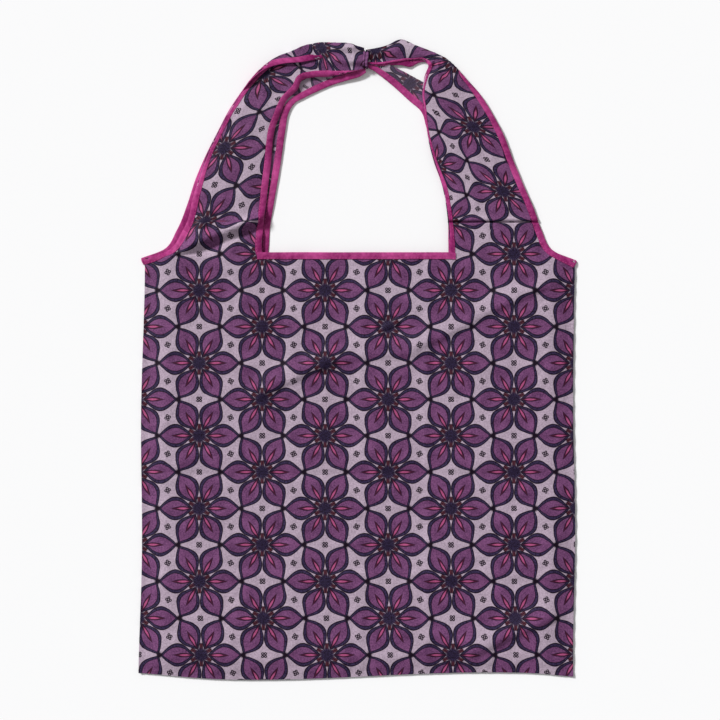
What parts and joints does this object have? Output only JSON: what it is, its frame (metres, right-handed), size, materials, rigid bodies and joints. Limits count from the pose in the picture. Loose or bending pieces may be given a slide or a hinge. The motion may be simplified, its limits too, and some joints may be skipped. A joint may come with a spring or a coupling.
{
  "type": "foldable tote bag",
  "caption": "Flat foldable cloth tote cut in one with its straps, bound edges, a gathered handle crown, a zigzag-folding body and an inner stow pocket.",
  "frame": {"origin": "centre of the footprint, on the surface that the bag lies on", "axes": "+Y from the bottom seam to the crown of the handle, +Z out of the front panel, +X across the bag"},
  "size_m": [0.418, 0.614, 0.009],
  "materials": {
    "printed_cloth": "crisp plain-weave polyester with a six-petal lattice print, soft satin sheen",
    "binding_tape": "magenta woven binding tape, slightly glossy, stitched",
    "seam_allowance": "raw lilac cloth, overlocked",
    "press_stud": "moulded, smooth"
  },
  "bodies": {
    "bag": {"back_mouth_binding": "binding_tape", "back_panel_upper": "printed_cloth", "back_shoulder_binding_left_inner": "binding_tape", "back_shoulder_binding_left_outer": "binding_tape", "back_shoulder_binding_right_inner": "binding_tape", "back_shoulder_binding_right_outer": "binding_tape", "back_shoulder_left": "printed_cloth", "back_shoulder_right": "printed_cloth", "binding_turn_left": "binding_tape", "binding_turn_right": "binding_tape", "front_panel_middle": "printed_cloth", "front_shoulder_binding_left_inner": "binding_tape", "front_shoulder_binding_left_outer": "binding_tape", "front_shoulder_binding_right_inner": "binding_tape", "front_shoulder_binding_right_outer": "binding_tape", "front_shoulder_left": "printed_cloth", "front_shoulder_right": "printed_cloth", "press_stud_ball": "press_stud", "press_stud_cap": "press_stud", "press_stud_socket": "press_stud", "side_seam_left_upper": "seam_allowance", "side_seam_right_upper": "seam_allowance", "stow_pocket": "printed_cloth", "stow_pocket_binding": "binding_tape", "stow_pocket_hem": "seam_allowance"},
    "lower_fold": {"back_panel_lower": "printed_cloth", "front_panel_lower": "printed_cloth", "side_seam_left_lower": "seam_allowance", "side_seam_right_lower": "seam_allowance"},
    "bottom_fold": {"back_panel_bottom": "printed_cloth", "bottom_seam": "seam_allowance", "front_panel_bottom": "printed_cloth", "side_seam_left_bottom": "seam_allowance", "side_seam_right_bottom": "seam_allowance"},
    "mouth_flap": {"front_mouth_binding": "binding_tape", "front_panel_upper": "printed_cloth"},
    "handle": {"back_strap_left": "printed_cloth", "back_strap_left_inner_binding": "binding_tape", "back_strap_left_outer_binding": "binding_tape", "back_strap_right": "printed_cloth", "back_strap_right_inner_binding": "binding_tape", "back_strap_right_outer_binding": "binding_tape", "crown_seam": "printed_cloth", "front_strap_left": "printed_cloth", "front_strap_left_inner_binding": "binding_tape", "front_strap_left_outer_binding": "binding_tape", "front_strap_right": "printed_cloth", "front_strap_right_inner_binding": "binding_tape", "front_strap_right_outer_binding": "binding_tape"}
  },
  "joints": [
    {"name": "lower_fold_hinge", "type": "hinge", "parent": "bag", "child": "lower_fold", "pos_m": [0, -0.111, 0.00735], "axis": [-1, 0, 0], "range_deg": [0, 178]},
    {"name": "bottom_fold_hinge", "type": "hinge", "parent": "lower_fold", "child": "bottom_fold", "pos_m": [0, -0.209, -0.00015], "axis": [1, 0, 0], "range_deg": [0, 178]},
    {"name": "mouth_open", "type": "hinge", "parent": "bag", "child": "mouth_flap", "pos_m": [0, -0.007, 0.0064], "axis": [1, 0, 0], "range_deg": [0, 15]},
    {"name": "handle_swing", "type": "hinge", "parent": "bag", "child": "handle", "pos_m": [0, 0.1318, 0.00755], "axis": [1, 0, 0], "range_deg": [0, 140]}
  ],
  "couplings": [
    {"joint": "bottom_fold_hinge", "follows": "lower_fold_hinge", "ratio": 1}
  ]
}
